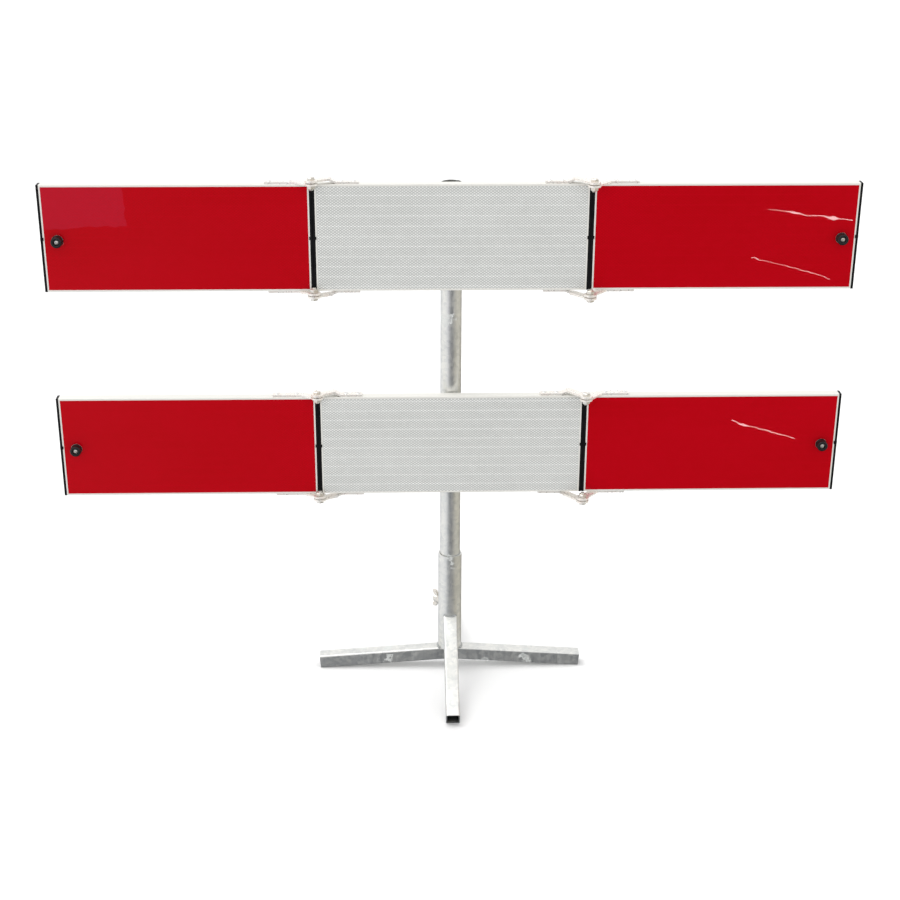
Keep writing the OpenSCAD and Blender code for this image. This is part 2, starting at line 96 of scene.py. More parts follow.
class Recipe:
    """A material's node tree, built from short calls."""

    def __init__(self, name: str) -> None:
        """Starts an empty material.

        Args:
            name: the material's name.
        """
        self.material = bpy.data.materials.new(name)
        self.material.use_nodes = True
        self.tree = self.material.node_tree
        self.tree.nodes.clear()
        self.place = self.add("ShaderNodeTexCoord").outputs["Object"]

    def add(self, kind: str, **settings: object) -> bpy.types.Node:
        """Adds a node.

        Args:
            kind: the node's type.
            settings: its properties.

        Returns:
            The new node.
        """
        node = self.tree.nodes.new(kind)
        for key, value in settings.items():
            setattr(node, key, value)
        return node

    def feed(self, node: bpy.types.Node, **inputs: object) -> bpy.types.Node:
        """Sets or links a node's inputs by name, an underscore standing for a space.

        Args:
            node: the node to feed.
            inputs: numbers, colours or the sockets to link.

        Returns:
            The same node.
        """
        for key, value in inputs.items():
            socket = node.inputs[key.replace("_", " ")]
            if isinstance(value, bpy.types.NodeSocket):
                self.tree.links.new(value, socket)
            else:
                socket.default_value = value
        return node

    def stretched(self, scale: Colour) -> bpy.types.NodeSocket:
        """The object's coordinates, stretched.

        Args:
            scale: the factor along each axis.

        Returns:
            The stretched coordinates.
        """
        node = self.feed(self.add("ShaderNodeMapping"), Vector=self.place, Scale=scale)
        return node.outputs["Vector"]

    def noise(self, scale: float, detail: float = 3.0, where: bpy.types.NodeSocket | None = None,
              rough: float = 0.5) -> bpy.types.NodeSocket:
        """A noise value.

        Args:
            scale: features per metre.
            detail: octaves.
            where: coordinates, or None for the object's own.
            rough: how strong the fine octaves are.

        Returns:
            The value's socket.
        """
        node = self.add("ShaderNodeTexNoise")
        self.feed(node, Vector=where or self.place, Scale=scale, Detail=detail, Roughness=rough)
        return node.outputs["Fac"]

    def cells(self, scale: float) -> bpy.types.NodeSocket:
        """Flat random cells, one grey value each.

        Args:
            scale: cells per metre.

        Returns:
            The value's socket.
        """
        node = self.feed(self.add("ShaderNodeTexVoronoi"), Vector=self.place, Scale=scale)
        return self.feed(self.add("ShaderNodeSeparateColor"), Color=node.outputs["Color"]).outputs["Red"]

    def math(self, operation: str, first: object, second: object = 0.0) -> bpy.types.NodeSocket:
        """One sum.

        Args:
            operation: the Math node's operation.
            first: a number or a socket.
            second: a number or a socket.

        Returns:
            The result's socket.
        """
        node = self.add("ShaderNodeMath", operation=operation)
        for socket, value in zip(node.inputs, (first, second)):
            if isinstance(value, bpy.types.NodeSocket):
                self.tree.links.new(value, socket)
            else:
                socket.default_value = value
        return node.outputs["Value"]

    def spread(self, value: bpy.types.NodeSocket, low: float, high: float, to_low: float = 0.0,
               to_high: float = 1.0) -> bpy.types.NodeSocket:
        """Maps a range of values to another, clamped.

        Args:
            value: the value.
            low: the lower end of its range.
            high: the upper end of its range.
            to_low: what the lower end becomes.
            to_high: what the upper end becomes.

        Returns:
            The mapped value's socket.
        """
        node = self.add("ShaderNodeMapRange")
        self.feed(node, Value=value, From_Min=low, From_Max=high, To_Min=to_low, To_Max=to_high)
        return node.outputs["Result"]

    def blend(self, amount: object, first: object, second: object) -> bpy.types.NodeSocket:
        """Mixes two colours.

        Args:
            amount: how much of the second colour.
            first: a colour or a socket.
            second: a colour or a socket.

        Returns:
            The mixed colour's socket.
        """
        node = self.add("ShaderNodeMix", data_type="RGBA")
        wanted = (("Factor_Float", amount), ("A_Color", first), ("B_Color", second))
        for identifier, value in wanted:
            socket = next(s for s in node.inputs if s.identifier == identifier)
            if isinstance(value, bpy.types.NodeSocket):
                self.tree.links.new(value, socket)
            else:
                socket.default_value = (*value, 1.0) if isinstance(value, tuple) else value
        return next(s for s in node.outputs if s.identifier == "Result_Color")

    def bump(self, height: bpy.types.NodeSocket, strength: float, distance: float,
             normal: bpy.types.NodeSocket | None = None) -> bpy.types.NodeSocket:
        """A bumped normal.

        Args:
            height: the height's socket.
            strength: how strong the bump is.
            distance: its depth in metres.
            normal: a normal to add to, or None.

        Returns:
            The normal's socket.
        """
        node = self.feed(self.add("ShaderNodeBump"), Height=height, Strength=strength, Distance=distance)
        if normal is not None:
            self.feed(node, Normal=normal)
        return node.outputs["Normal"]

    def surface(self, **inputs: object) -> bpy.types.Material:
        """Ends the tree in a Principled surface.

        Args:
            inputs: the shader's inputs by name.

        Returns:
            The finished material.
        """
        shader = self.feed(self.add("ShaderNodeBsdfPrincipled"), **inputs)
        output = self.add("ShaderNodeOutputMaterial")
        self.tree.links.new(shader.outputs["BSDF"], output.inputs["Surface"])
        return self.material


@dataclass(frozen=True)
class Galvanised:
    """Hot-dip galvanised steel: faint zinc crystals, long runs and a few pale patches of bloom, with painted
    shade where the piece's own surfaces close in, as inside its tubes.
    """

    name: str = "galvanised_steel"
    dark: Colour = (0.66, 0.67, 0.66)
    light: Colour = (0.88, 0.87, 0.83)
    bloom: Colour = (0.70, 0.73, 0.71)
    crystals: float = 160.0
    bloom_from: float = 0.645
    metal: float = 0.92
    # The painted shade's near-black colour, and how far the occlusion looks for closing surfaces.
    hollow: Colour = (0.02, 0.02, 0.02)
    hollow_reach: float = 0.06

    def material(self) -> bpy.types.Material:
        """Builds the material.

        Returns:
            The new material.
        """
        recipe = Recipe(self.name)
        crystal = recipe.math("MULTIPLY", recipe.cells(self.crystals), 0.35)
        cloud = recipe.math("MULTIPLY", recipe.noise(24.0, 5.0, rough=0.65), 0.9)
        grey = recipe.spread(recipe.math("ADD", crystal, cloud), 0.35, 0.95)
        patches = recipe.noise(21.0, 4.0, rough=0.55)
        inside = recipe.spread(patches, self.bloom_from, self.bloom_from + 0.03, 0.0, 0.35)
        rim_out = recipe.spread(patches, self.bloom_from - 0.015, self.bloom_from)
        rim_in = recipe.spread(patches, self.bloom_from + 0.015, self.bloom_from + 0.03, 1.0, 0.0)
        rim = recipe.math("MULTIPLY", recipe.math("MINIMUM", rim_out, rim_in), 0.75)
        streaks = recipe.noise(16.0, 4.0, recipe.stretched((8.0, 8.0, 0.5)), 0.6)
        run = recipe.math("MULTIPLY", recipe.spread(streaks, 0.45, 0.75), 0.2)
        pits = recipe.spread(recipe.noise(420.0, 3.0, rough=0.6), 0.66, 0.74)
        amount = recipe.math("MAXIMUM", recipe.math("MAXIMUM", inside, rim), run)
        colour = recipe.blend(amount, recipe.blend(grey, self.dark, self.light), self.bloom)
        colour = recipe.blend(recipe.math("MULTIPLY", pits, 0.45), colour, (0.30, 0.30, 0.29))
        # Painted shade: an ambient occlusion node blends the colour towards near black where the piece's own
        # surfaces close in, as inside the tubes.
        occlusion = recipe.add("ShaderNodeAmbientOcclusion", samples=8, only_local=True)
        recipe.feed(occlusion, Distance=self.hollow_reach)
        painted_shade_amount = recipe.spread(occlusion.outputs["AO"], 0.1, 0.55, 0.95, 0.0)
        colour = recipe.blend(painted_shade_amount, colour, self.hollow)
        metal = recipe.spread(amount, 0.0, 1.0, self.metal, 0.25)
        rough = recipe.spread(recipe.math("ADD", amount, crystal), 0.0, 1.0, 0.3, 0.6)
        grain = recipe.bump(recipe.noise(900.0, 2.0), 0.12, 0.0002)
        normal = recipe.bump(recipe.noise(70.0, 4.0), 0.2, 0.0005, grain)
        return recipe.surface(Base_Color=colour, Metallic=metal, Roughness=rough, Normal=normal)


@dataclass(frozen=True)
class ZincPlate:
    """Bright zinc plating with a faint yellow and pink bloom."""

    name: str = "zinc_plated_steel"
    base: Colour = (0.74, 0.72, 0.68)
    tint: Colour = (0.84, 0.74, 0.62)
    shadow: Colour = (0.42, 0.40, 0.38)
    metal: float = 0.9

    def material(self) -> bpy.types.Material:
        """Builds the material.

        Returns:
            The new material.
        """
        recipe = Recipe(self.name)
        tinted = recipe.spread(recipe.noise(70.0, 4.0), 0.42, 0.7)
        stain = recipe.spread(recipe.noise(160.0, 5.0, rough=0.7), 0.58, 0.72)
        colour = recipe.blend(recipe.math("MULTIPLY", tinted, 0.6), self.base, self.tint)
        colour = recipe.blend(recipe.math("MULTIPLY", stain, 0.55), colour, self.shadow)
        rough = recipe.spread(recipe.noise(240.0, 3.0), 0.3, 0.7, 0.22, 0.42)
        normal = recipe.bump(recipe.noise(700.0, 3.0), 0.15, 0.0001)
        return recipe.surface(Base_Color=colour, Metallic=self.metal, Roughness=rough, Normal=normal)


@dataclass(frozen=True)
class BoardMetal:
    """Pale anodised aluminium, drawn along the board, with handling marks."""

    name: str = "board_aluminium"
    base: Colour = (0.82, 0.81, 0.76)
    grey: Colour = (0.60, 0.60, 0.57)

    def material(self) -> bpy.types.Material:
        """Builds the material.

        Returns:
            The new material.
        """
        recipe = Recipe(self.name)
        lines = recipe.noise(1.0, 3.0, recipe.stretched((6.0, 900.0, 900.0)))
        smudge = recipe.spread(recipe.noise(14.0, 5.0, rough=0.6), 0.5, 0.8)
        marks = recipe.spread(recipe.noise(240.0, 4.0, rough=0.7), 0.62, 0.72)
        amount = recipe.math("MULTIPLY", recipe.spread(lines, 0.3, 0.7), 0.28)
        amount = recipe.math("MAXIMUM", amount, recipe.math("MULTIPLY", smudge, 0.35))
        amount = recipe.math("MAXIMUM", amount, recipe.math("MULTIPLY", marks, 0.6))
        colour = recipe.blend(amount, self.base, self.grey)
        rough = recipe.spread(lines, 0.2, 0.8, 0.34, 0.5)
        normal = recipe.bump(lines, 0.12, 0.00008)
        return recipe.surface(Base_Color=colour, Metallic=0.2, Roughness=rough, Normal=normal)


@dataclass(frozen=True)
class Sheeting:
    """Retroreflective film: a net of small diamond cells under a clear glossy top layer, with painted glints
    in bands, clouds and cells.
    """

    name: str
    base: Colour
    net: Colour
    # The colour that the painted glints lighten the film towards.
    glint: Colour
    cell_w: float = 6.7 * MM
    cell_h: float = 5.0 * MM
    band_h: float = 19.0 * MM
    net_strength: float = 0.6
    band_strength: float = 0.1
    cloud_strength: float = 0.2

    def net_lines(self, recipe: Recipe) -> bpy.types.NodeSocket:
        """The diamond net, 1 on its lines.

        Args:
            recipe: the material being built.

        Returns:
            The value's socket.
        """
        axes = recipe.feed(recipe.add("ShaderNodeSeparateXYZ"), Vector=recipe.place)
        across = recipe.math("DIVIDE", axes.outputs["X"], self.cell_w)
        up = recipe.math("DIVIDE", axes.outputs["Z"], self.cell_h)
        walls = []
        for operation in ("ADD", "SUBTRACT"):
            slanted = recipe.math("PINGPONG", recipe.math(operation, across, up), 0.5)
            walls.append(recipe.spread(slanted, 0.0, 0.26, 1.0, 0.0))
        corners = recipe.math("MULTIPLY", walls[0], walls[1])
        edges = recipe.math("MULTIPLY", recipe.math("MAXIMUM", walls[0], walls[1]), 0.7)
        return recipe.math("MAXIMUM", corners, edges)

    def material(self) -> bpy.types.Material:
        """Builds the material.

        Returns:
            The new material.
        """
        recipe = Recipe(self.name)
        net = self.net_lines(recipe)
        axes = recipe.feed(recipe.add("ShaderNodeSeparateXYZ"), Vector=recipe.place)
        # Painted glint: bright bands, clouds and cells lighten the film towards the glint colour.
        band = recipe.math("PINGPONG", recipe.math("DIVIDE", axes.outputs["Z"], self.band_h), 0.5)
        band = recipe.math("MULTIPLY", recipe.spread(band, 0.40, 0.5), self.band_strength)
        cloud = recipe.spread(recipe.noise(5.0, 3.0, recipe.stretched((1.0, 1.0, 2.5))), 0.35, 0.75)
        painted_glint = recipe.math("MAXIMUM", band, recipe.math("MULTIPLY", cloud, self.cloud_strength))
        cell = recipe.math("MULTIPLY", recipe.cells(1.0 / self.cell_w), 0.12)
        colour = recipe.blend(recipe.math("ADD", painted_glint, cell), self.base, self.glint)
        colour = recipe.blend(recipe.math("MULTIPLY", net, self.net_strength), colour, self.net)
        wave = recipe.noise(30.0, 1.0, recipe.stretched((1.0, 1.0, 1.3)))
        relief = recipe.bump(net, 0.25, 0.00012)
        film = recipe.bump(wave, 0.3, 0.00016)
        dust = recipe.spread(recipe.noise(30.0, 6.0, rough=0.7), 0.3, 0.8, 0.26, 0.4)
        return recipe.surface(
            Base_Color=colour, Roughness=dust, Normal=relief, Specular_IOR_Level=0.0,
            Coat_Weight=0.5, Coat_Roughness=0.003, Coat_Normal=film,
        )


@dataclass(frozen=True)
class Rubber:
    """Black moulded rubber with a dusty, finely pitted skin."""

    name: str
    base: Colour = (0.004, 0.004, 0.005)
    dust: Colour = (0.013, 0.012, 0.014)
    gloss: float = 0.15

    def material(self) -> bpy.types.Material:
        """Builds the material.

        Returns:
            The new material.
        """
        recipe = Recipe(self.name)
        powder = recipe.spread(recipe.noise(45.0, 6.0, rough=0.7), 0.48, 0.75)
        colour = recipe.blend(recipe.math("MULTIPLY", powder, 0.6), self.base, self.dust)
        rough = recipe.spread(powder, 0.0, 1.0, 0.42, 0.68)
        normal = recipe.bump(recipe.noise(1400.0, 2.0), 0.3, 0.00012)
        return recipe.surface(
            Base_Color=colour, Roughness=rough, Normal=normal, Specular_IOR_Level=self.gloss,
        )


@dataclass(frozen=True)
class CastMetal:
    """Blasted cast aluminium."""

    name: str = "cast_aluminium"
    base: Colour = (0.50, 0.51, 0.52)
    pale: Colour = (0.68, 0.68, 0.67)

    def material(self) -> bpy.types.Material:
        """Builds the material.

        Returns:
            The new material.
        """
        recipe = Recipe(self.name)
        colour = recipe.blend(recipe.noise(90.0, 5.0, rough=0.7), self.base, self.pale)
        rough = recipe.spread(recipe.noise(300.0), 0.2, 0.8, 0.45, 0.65)
        normal = recipe.bump(recipe.noise(1100.0, 3.0), 0.4, 0.0002)
        return recipe.surface(Base_Color=colour, Metallic=0.8, Roughness=rough, Normal=normal)


@dataclass
class Finishes:
    """All the finishes, by the record's material slot."""

    by_slot: dict[str, bpy.types.Material] = field(default_factory=dict)

    def mix(self) -> None:
        """Builds every material once."""
        weld = Galvanised("weld_steel", (0.30, 0.31, 0.31), (0.60, 0.61, 0.60), crystals=320.0)
        strap = ZincPlate("strap_steel", (0.90, 0.87, 0.82), (0.90, 0.79, 0.72), metal=0.45)
        rivet = ZincPlate("rivet_aluminium", (0.80, 0.80, 0.79), (0.80, 0.79, 0.76))
        white = Sheeting(
            "white_sheeting", (0.68, 0.69, 0.67), (0.13, 0.14, 0.13), (0.92, 0.93, 0.91),
            net_strength=0.9, band_strength=0.75,
        )
        red = Sheeting(
            "red_sheeting", (0.42, 0.0001, 0.004), (0.24, 0.0001, 0.002), (0.54, 0.0003, 0.012),
            net_strength=0.45, band_strength=0.25,
        )
        finishes = (
            Galvanised(), weld, ZincPlate(), strap, rivet, CastMetal(), BoardMetal(), white, red,
            Rubber("black_rubber"),
            Rubber("buffer_rubber", (0.006, 0.006, 0.007), (0.026, 0.025, 0.024), 0.4),
        )
        for finish in finishes:
            self.by_slot[finish.name] = finish.material()


# ---------------------------------------------------------------- the bench


class Workpiece:
    """A mesh object on the bench, shaped with Blender's own operators."""

    def __init__(self, obj: bpy.types.Object) -> None:
        """Takes an object in hand.

        Args:
            obj: the mesh object.
        """
        self.obj = obj

    @staticmethod
    def clear() -> None:
        """Leaves edit mode and deselects everything."""
        if bpy.context.mode != "OBJECT":
            bpy.ops.object.mode_set(mode="OBJECT")
        bpy.ops.object.select_all(action="DESELECT")

    def hold(self) -> None:
        """Makes this the only selected object, and the active one."""
        self.clear()
        self.obj.select_set(True)
        bpy.context.view_layer.objects.active = self.obj

    @classmethod
    def taken(cls, name: str) -> "Workpiece":
        """Names the primitive that was just added and bakes its place into its mesh.

        Args:
            name: the piece's name.

        Returns:
            The new piece.
        """
        piece = cls(bpy.context.object)
        piece.obj.name = name
        piece.obj.data.name = name
        piece.settle()
        return piece

    @classmethod
    def block(cls, name: str, low: Sequence[float], high: Sequence[float]) -> "Workpiece":
        """A box between two corners.

        Args:
            name: the piece's name.
            low: its lowest corner.
            high: its highest corner.

        Returns:
            The new piece.
        """
        cls.clear()
        low_corner, high_corner = Vector(low), Vector(high)
        bpy.ops.mesh.primitive_cube_add(size=1.0, location=(low_corner + high_corner) / 2)
        bpy.context.object.scale = high_corner - low_corner
        return cls.taken(name)

    @classmethod
    def turned(cls, name: str, profile: Profile, sides: int = 48, ring: bool = False) -> "Workpiece":
        """A piece turned about Z, drawn out of one circle along a profile.

        Args:
            name: the piece's name.
            profile: radius and height of each corner, in metres.
            sides: how many sides the circle has.
            ring: True if the profile closes on itself round a bore.

        Returns:
            The new piece.
        """
        cls.clear()
        radius, height = profile[0]
        bpy.ops.mesh.primitive_circle_add(vertices=sides, radius=radius, location=(0, 0, height))
        piece = cls.taken(name)
        with piece.editing("EDGE"):
            bpy.ops.mesh.select_all(action="SELECT")
            for next_radius, next_height in list(profile[1:]) + (list(profile[:1]) if ring else []):
                rise = (0, 0, next_height - height)
                bpy.ops.mesh.extrude_region_move(TRANSFORM_OT_translate={"value": rise})
                grow = next_radius / radius
                bpy.ops.transform.resize(value=(grow, grow, 1.0), center_override=(0, 0, next_height))
                radius, height = next_radius, next_height
            bpy.ops.mesh.select_all(action="SELECT")
            if ring:
                bpy.ops.mesh.remove_doubles(threshold=1e-6)
            else:
                bpy.ops.mesh.select_non_manifold(extend=False)
                bpy.ops.mesh.edge_face_add()
            bpy.ops.mesh.select_all(action="SELECT")
            bpy.ops.mesh.normals_make_consistent(inside=False)
        return piece

    @classmethod
    def cad_copy(cls, name: str, node: str) -> "Workpiece":
        """A copy of a CAD node, with its loose triangles merged and its flat faces made whole.

        Args:
            name: the piece's name.
            node: the CAD node.

        Returns:
            The new piece.
        """
        cls.clear()
        mesh = frame["nodes"][node].data.copy()
        mesh.materials.clear()
        obj = bpy.data.objects.new(name, mesh)
        bpy.context.scene.collection.objects.link(obj)
        piece = cls(obj)
        with piece.editing("VERT"):
            bpy.ops.mesh.select_all(action="SELECT")
            bpy.ops.mesh.remove_doubles(threshold=0.002 * MM)
            bpy.ops.mesh.dissolve_limited(angle_limit=math.radians(0.4))
        return piece

    @contextmanager
    def editing(self, mode: str = "FACE") -> Iterator["Workpiece"]:
        """Opens the piece in edit mode with nothing selected.

        Args:
            mode: what is selected, VERT, EDGE or FACE.

        Yields:
            The piece.
        """
        self.hold()
        bpy.ops.object.mode_set(mode="EDIT")
        bpy.ops.mesh.select_mode(type=mode)
        bpy.ops.mesh.select_all(action="DESELECT")
        yield self
        bpy.ops.object.mode_set(mode="OBJECT")

    def pick_faces(self, test: Callable[[Vector, Vector], bool]) -> None:
        """Selects faces while in edit mode.

        Args:
            test: says from a face's centre and normal if it is wanted.
        """
        mesh = bmesh.from_edit_mesh(self.obj.data)
        for face in mesh.faces:
            face.select_set(test(face.calc_center_median(), face.normal))
        bmesh.update_edit_mesh(self.obj.data)

    def soften(self, width: float, segments: int = 2, angle: float = 35.0) -> "Workpiece":
        """Rounds the sharp edges a little and shades the rest smooth.

        Args:
            width: the rounding's width in metres.
            segments: its facets.
            angle: edges sharper than this, in degrees, are rounded.

        Returns:
            The same piece.
        """
        self.hold()
        modifier = self.obj.modifiers.new("edge_rounding", "BEVEL")
        modifier.width = width
        modifier.segments = segments
        modifier.limit_method = "ANGLE"
        modifier.angle_limit = math.radians(angle)
        modifier.use_clamp_overlap = True
        bpy.ops.object.modifier_apply(modifier=modifier.name)
        bpy.ops.object.shade_smooth_by_angle(angle=math.radians(angle))
        flat = self.obj.modifiers.new("flat_faces", "WEIGHTED_NORMAL")
        flat.keep_sharp = True
        flat.weight = 100
        bpy.ops.object.modifier_apply(modifier=flat.name)
        return self

    def smooth(self, levels: int) -> "Workpiece":
        """Applies a subdivision surface.

        Args:
            levels: how many times it divides.

        Returns:
            The same piece.
        """
        self.hold()
        modifier = self.obj.modifiers.new("rounded_form", "SUBSURF")
        modifier.levels = levels
        modifier.render_levels = levels
        bpy.ops.object.modifier_apply(modifier=modifier.name)
        bpy.ops.object.shade_smooth()
        return self

    def settle(self) -> None:
        """Bakes the object's place, turn and size into its mesh."""
        self.hold()
        bpy.ops.object.transform_apply(location=True, rotation=True, scale=True)

    def copied_to(self, places: Sequence[Matrix], name: str) -> "Workpiece":
        """Copies the piece to each place and joins the copies, then scraps the original.

        Args:
            places: one matrix a copy.
            name: the joined piece's name.

        Returns:
            The joined piece.
        """
        copies = []
        for place in places:
            copy = self.obj.copy()
            copy.data = self.obj.data.copy()
            copy.data.transform(place)
            bpy.context.scene.collection.objects.link(copy)
            copies.append(copy)
        bpy.data.objects.remove(self.obj)
        joined = Workpiece(copies[0])
        joined.obj.name = name
        joined.obj.data.name = name
        joined.take_in([Workpiece(copy) for copy in copies[1:]])
        return joined

    def take_in(self, others: Sequence["Workpiece"]) -> "Workpiece":
        """Joins other pieces into this one.

        Args:
            others: the pieces to join.

        Returns:
            The same piece.
        """
        self.hold()
        for other in others:
            other.obj.select_set(True)
        if others:
            bpy.ops.object.join()
        return self

    def cut_by(self, cutter: "Workpiece") -> "Workpiece":
        """Cuts another piece's shape out of this one and scraps the cutter.

        Args:
            cutter: the shape to take away.

        Returns:
            The same piece.
        """
        self.hold()
        modifier = self.obj.modifiers.new("cut", "BOOLEAN")
        modifier.operation = "DIFFERENCE"
        modifier.object = cutter.obj
        bpy.ops.object.modifier_apply(modifier=modifier.name)
        bpy.data.objects.remove(cutter.obj)
        return self

    def fit(self, body: str, slot: str, finishes: Finishes, *nodes: str) -> None:
        """Gives the piece its finish, puts it on a body and reports it.

        Args:
            body: the CAD body it rides on.
            slot: the record's material slot.
            finishes: the finishes to choose from.
            nodes: the CAD nodes it stands for.
        """
        self.obj.data.materials.clear()
        self.obj.data.materials.append(finishes.by_slot[slot])
        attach(self.obj, body)
        if nodes:
            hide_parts(*nodes)
        LOG.info("%s on %s, %d faces", self.obj.name, body, len(self.obj.data.polygons))


def upright(x: float, y: float, z: float) -> Matrix:
    """A place with Z up."""
    return Matrix.Translation((x, y, z))


def hanging(x: float, y: float, z: float) -> Matrix:
    """A place with Z down."""
    return Matrix.Translation((x, y, z)) @ Matrix.Rotation(math.pi, 4, "X")


# ---------------------------------------------------------------- sub-assemblies


@dataclass(frozen=True)
class HexNut:
    """A hexagon nut with chamfered corners and a countersunk bore."""

    bore_r: float = 4.06 * MM
    across: float = 13.0 * MM
    chamfer: float = 0.8 * MM
    chamfer_in: float = 1.2 * MM
    sink: float = 0.4 * MM
    sink_out: float = 0.5 * MM
    edge: float = 0.1 * MM

    def between(self, low: float, high: float) -> Workpiece:
        """Turns one nut about Z.

        Args:
            low: the height of its underside.
            high: the height of its upper side.

        Returns:
            The nut.
        """
        corner = self.across / 2 / math.cos(math.pi / 6)
        return Workpiece.turned("nut", [
            (self.bore_r, low + self.sink), (self.bore_r + self.sink_out, low),
            (corner - self.chamfer_in, low), (corner, low + self.chamfer),
            (corner, high - self.chamfer), (corner - self.chamfer_in, high),
            (self.bore_r + self.sink_out, high), (self.bore_r, high - self.sink),
        ], 6, ring=True).soften(self.edge)


@dataclass
class HingeSet:
    """The bolts, nuts, washers, straps and rivets of one row's hinges."""

    row: "Row"
    strap_t: float = 4.0 * MM
    washer_low: float = 4.3 * MM
    washer_t: float = 1.7 * MM
    eye_top: float = 10.0 * MM
    bolt_r: float = 4.0 * MM
    thread_depth: float = 0.35 * MM
    thread_pitch: float = 1.25 * MM
    thread_turns: int = 8
    bolt_tip: float = 9.0 * MM
    head_h: float = 5.3 * MM
    head_chamfer: float = 0.9 * MM
    hex_across: float = 13.0 * MM
    nut_top: float = 0.1 * MM
    nut_h: float = 6.5 * MM
    bore_r: float = 4.06 * MM
    washer_r: float = 8.0 * MM
    washer_chamfer: float = 0.3 * MM
    rivet_r: float = 4.6 * MM
    rivet_h: float = 1.4 * MM
    wing_rivets: tuple[float, float] = (40.0 * MM, 77.0 * MM)
    crank_rivets: tuple[float, float] = (54.0 * MM, 77.0 * MM)
    edge: float = 0.35 * MM

    @property
    def hex_r(self) -> float:
        """Radius of a hexagon's corners."""
        return self.hex_across / 2 / math.cos(math.pi / 6)

    def stacks(self) -> list[Matrix]:
        """Places of the four hinge axes on the boards' edges, Z pointing away from the board.

        Returns:
            The upper edge's two places, then the lower edge's two.
        """
        row = self.row
        axes = [row.pivot(side) for side in Side]
        return [upright(a.x, a.y, row.top) for a in axes] + [hanging(a.x, a.y, row.bottom) for a in axes]

    def bolts(self) -> Workpiece:
        """Hexagon head bolts whose threaded tips show past the nuts.

        Returns:
            The row's four bolts.
        """
        row = self.row.name.value
        crest, root = self.bolt_r, self.bolt_r - self.thread_depth
        height = -self.bolt_tip + 0.5 * MM
        profile = [(root - self.thread_depth, -self.bolt_tip), (root, height)]
        for _ in range(self.thread_turns):
            profile.append((crest, height + self.thread_pitch / 2))
            profile.append((root, height + self.thread_pitch))
            height += self.thread_pitch
        profile += [(crest, height + self.thread_pitch / 2), (crest, self.eye_top)]
        shank = Workpiece.turned("shank", profile, 32)
        top = self.eye_top + self.head_h
        head = Workpiece.turned("head", [
            (self.hex_r - 0.3 * MM, self.eye_top), (self.hex_r, self.eye_top + 0.4 * MM),
            (self.hex_r, top - self.head_chamfer), (self.hex_r - 1.1 * MM, top - 0.15 * MM),
            (self.hex_r - 1.8 * MM, top), (self.hex_r - 3.4 * MM, top),
            (self.hex_r - 3.7 * MM, top - 0.35 * MM),
        ], 6)
        bolt = shank.take_in([head.soften(0.12 * MM)])
        return bolt.copied_to(self.stacks(), f"{row}_hinge_bolts_threaded")

    def nuts(self) -> Workpiece:
        """Chamfered nuts under the eyes.

        Returns:
            The row's four nuts.
        """
        nut = HexNut().between(self.nut_top - self.nut_h, self.nut_top)
        return nut.copied_to(self.stacks(), f"{self.row.name.value}_hinge_nuts_chamfered")

    def washers(self) -> Workpiece:
        """Round washers between the two eyes.

        Returns:
            The row's four washers.
        """
        low, high = self.washer_low, self.washer_low + self.washer_t
        rim = self.washer_r - self.washer_chamfer
        washer = Workpiece.turned("washer", [
            (self.bore_r, low), (rim, low), (self.washer_r, low + self.washer_chamfer),
            (self.washer_r, high - self.washer_chamfer), (rim, high), (self.bore_r, high),
        ], 48, ring=True).soften(0.08 * MM)
        return washer.copied_to(self.stacks(), f"{self.row.name.value}_hinge_washers_turned")

    def rivets(self, part: Part) -> Workpiece:
        """Domed rivets with the stub of the drawn-off pin in the middle.

        Args:
            part: the board whose straps they hold.

        Returns:
            All the rivets of that board.
        """
        row = self.row
        low, rim, top = self.strap_t, self.rivet_r, self.strap_t + self.rivet_h
        rivet = Workpiece.turned("rivet", [
            (2.4 * MM, low - 9.0 * MM), (2.4 * MM, low), (rim, low), (rim, low + 0.35 * MM),
            (rim * 0.9, low + self.rivet_h * 0.62), (rim * 0.72, low + self.rivet_h * 0.88),
            (rim * 0.45, top), (1.5 * MM, top), (1.4 * MM, top - 0.5 * MM), (1.1 * MM, top - 0.55 * MM),
            (1.0 * MM, top - 0.1 * MM),
        ], 32).soften(0.06 * MM)
        places = []
        sides = list(Side) if part is Part.CENTRE else [Side[part.name]]
        for side in sides:
            inward = 1 if part is Part.CENTRE else -1
            distances = self.crank_rivets if part is Part.CENTRE else self.wing_rivets
            for distance in distances:
                x = side.value * (abs(row.pivot(side).x) - inward * distance)
                places += [upright(x, row.middle_y, row.top), hanging(x, row.middle_y, row.bottom)]
        return rivet.copied_to(places, f"{row.name.value}_{part.value}_rivets_domed")

    def straps(self, part: Part) -> Workpiece:
        """Sheared steel straps with rolled edges and a punched centre mark near each far end.

        Args:
            part: the board that carries them.

        Returns:
            All the straps of that board.
        """
        row = self.row
        node = f"{row.name.value}_{part.value}_straps"
        straps = Workpiece.cad_copy(f"{node}_rolled", node).soften(self.edge)
        mark = Workpiece.turned("mark", [
            (1.5 * MM, self.strap_t - 0.3 * MM), (1.5 * MM, self.strap_t + 0.12 * MM),
            (1.1 * MM, self.strap_t + 0.25 * MM), (0.6 * MM, self.strap_t - 0.1 * MM),
        ], 24).soften(0.05 * MM)
        sides = list(Side) if part is Part.CENTRE else [Side[part.name]]
        inward = 1 if part is Part.CENTRE else -1
        reach = (self.wing_rivets[0] + self.wing_rivets[1]) / 2 + 7.0 * MM
        places = []
        for side in sides:
            x = side.value * (abs(row.pivot(side).x) - inward * reach)
            places += [upright(x, row.middle_y, row.top), hanging(x, row.middle_y, row.bottom)]
        return straps.take_in([mark.copied_to(places, "marks")])

